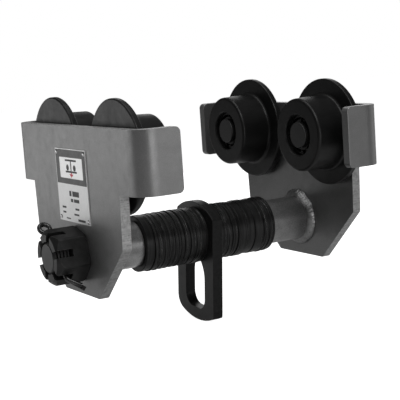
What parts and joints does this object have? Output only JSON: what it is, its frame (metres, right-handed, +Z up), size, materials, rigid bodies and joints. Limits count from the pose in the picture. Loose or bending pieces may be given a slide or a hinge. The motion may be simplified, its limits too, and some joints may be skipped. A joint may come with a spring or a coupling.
{
  "type": "beam trolley",
  "caption": "Push trolley for an I-beam: two bent side plates with flanged wheels, joined by a load shaft with spacer washers, castle nut and swinging hanger plate.",
  "frame": {"origin": "midway between the two side plates and between the two axles of a plate, at the height where the wheel treads stand on the beam flange", "axes": "+Z up, Y along the beam, X along the load shaft with the castle nut and name plate at -X"},
  "size_m": [0.4182, 0.3676, 0.3202],
  "materials": {
    "grey_paint": "satin grey metallic paint",
    "weld_bead": "painted-over weld bead",
    "oiled_steel": "turned steel, lightly oiled",
    "black_steel": "black oxide",
    "black_paint": "semi-gloss black paint",
    "black_enamel": "semi-gloss black enamel",
    "bearing_steel": "ground bearing steel",
    "spring_steel": "blackened spring steel",
    "label_plate": "printed aluminium",
    "bright_rivet": "bright drive rivet"
  },
  "bodies": {
    "frame": {"name_side_plate": "grey_paint", "far_side_plate": "grey_paint", "name_side_collar": "grey_paint", "far_side_collar": "grey_paint", "name_collar_weld": "weld_bead", "far_collar_weld": "weld_bead", "load_shaft": "oiled_steel", "castle_nut": "black_steel", "cotter_pin": "black_steel", "name_side_thick_spacer": "black_steel", "name_side_thin_spacers": "black_steel", "far_side_thick_spacers": "black_steel", "far_side_thin_spacers": "black_steel", "name_side_front_axle": "oiled_steel", "name_side_front_axle_weld": "weld_bead", "name_side_front_bearing_inner_rings": "bearing_steel", "name_side_front_axle_circlip": "spring_steel", "name_side_rear_axle": "oiled_steel", "name_side_rear_axle_weld": "weld_bead", "name_side_rear_bearing_inner_rings": "bearing_steel", "name_side_rear_axle_circlip": "spring_steel", "far_side_front_axle": "oiled_steel", "far_side_front_axle_weld": "weld_bead", "far_side_front_bearing_inner_rings": "bearing_steel", "far_side_front_axle_circlip": "spring_steel", "far_side_rear_axle": "oiled_steel", "far_side_rear_axle_weld": "weld_bead", "far_side_rear_bearing_inner_rings": "bearing_steel", "far_side_rear_axle_circlip": "spring_steel", "name_plate": "label_plate", "name_plate_rivets": "bright_rivet"},
    "hanger": {"hanger": "black_paint"},
    "name_side_front_wheel": {"name_side_front_wheel": "black_enamel", "name_side_front_bearing_outer_rings": "bearing_steel", "name_side_front_bore_circlip": "spring_steel"},
    "name_side_front_ball_set": {"name_side_front_bearing_balls": "bearing_steel"},
    "name_side_rear_wheel": {"name_side_rear_wheel": "black_enamel", "name_side_rear_bearing_outer_rings": "bearing_steel", "name_side_rear_bore_circlip": "spring_steel"},
    "name_side_rear_ball_set": {"name_side_rear_bearing_balls": "bearing_steel"},
    "far_side_front_wheel": {"far_side_front_wheel": "black_enamel", "far_side_front_bearing_outer_rings": "bearing_steel", "far_side_front_bore_circlip": "spring_steel"},
    "far_side_front_ball_set": {"far_side_front_bearing_balls": "bearing_steel"},
    "far_side_rear_wheel": {"far_side_rear_wheel": "black_enamel", "far_side_rear_bearing_outer_rings": "bearing_steel", "far_side_rear_bore_circlip": "spring_steel"},
    "far_side_rear_ball_set": {"far_side_rear_bearing_balls": "bearing_steel"}
  },
  "joints": [
    {"name": "name_side_front_wheel_spin", "type": "hinge", "parent": "frame", "child": "name_side_front_wheel", "pos_m": [-0.1359, -0.0905, 0.05], "axis": [1, 0, 0], "continuous": true},
    {"name": "name_side_front_ball_orbit", "type": "hinge", "parent": "frame", "child": "name_side_front_ball_set", "pos_m": [-0.1359, -0.0905, 0.05], "axis": [1, 0, 0], "continuous": true},
    {"name": "name_side_rear_wheel_spin", "type": "hinge", "parent": "frame", "child": "name_side_rear_wheel", "pos_m": [-0.1359, 0.0905, 0.05], "axis": [1, 0, 0], "continuous": true},
    {"name": "name_side_rear_ball_orbit", "type": "hinge", "parent": "frame", "child": "name_side_rear_ball_set", "pos_m": [-0.1359, 0.0905, 0.05], "axis": [1, 0, 0], "continuous": true},
    {"name": "far_side_front_wheel_spin", "type": "hinge", "parent": "frame", "child": "far_side_front_wheel", "pos_m": [0.1359, -0.0905, 0.05], "axis": [1, 0, 0], "continuous": true},
    {"name": "far_side_front_ball_orbit", "type": "hinge", "parent": "frame", "child": "far_side_front_ball_set", "pos_m": [0.1359, -0.0905, 0.05], "axis": [1, 0, 0], "continuous": true},
    {"name": "far_side_rear_wheel_spin", "type": "hinge", "parent": "frame", "child": "far_side_rear_wheel", "pos_m": [0.1359, 0.0905, 0.05], "axis": [1, 0, 0], "continuous": true},
    {"name": "far_side_rear_ball_orbit", "type": "hinge", "parent": "frame", "child": "far_side_rear_ball_set", "pos_m": [0.1359, 0.0905, 0.05], "axis": [1, 0, 0], "continuous": true},
    {"name": "hanger_swing", "type": "hinge", "parent": "frame", "child": "hanger", "pos_m": [0, 0, -0.077], "axis": [1, 0, 0], "range_deg": [-96.5, 83.5]}
  ],
  "couplings": [
    {"joint": "name_side_front_ball_orbit", "follows": "name_side_front_wheel_spin", "ratio": 0.5611},
    {"joint": "name_side_rear_ball_orbit", "follows": "name_side_rear_wheel_spin", "ratio": 0.5611},
    {"joint": "far_side_front_ball_orbit", "follows": "far_side_front_wheel_spin", "ratio": 0.5611},
    {"joint": "far_side_rear_ball_orbit", "follows": "far_side_rear_wheel_spin", "ratio": 0.5611}
  ]
}
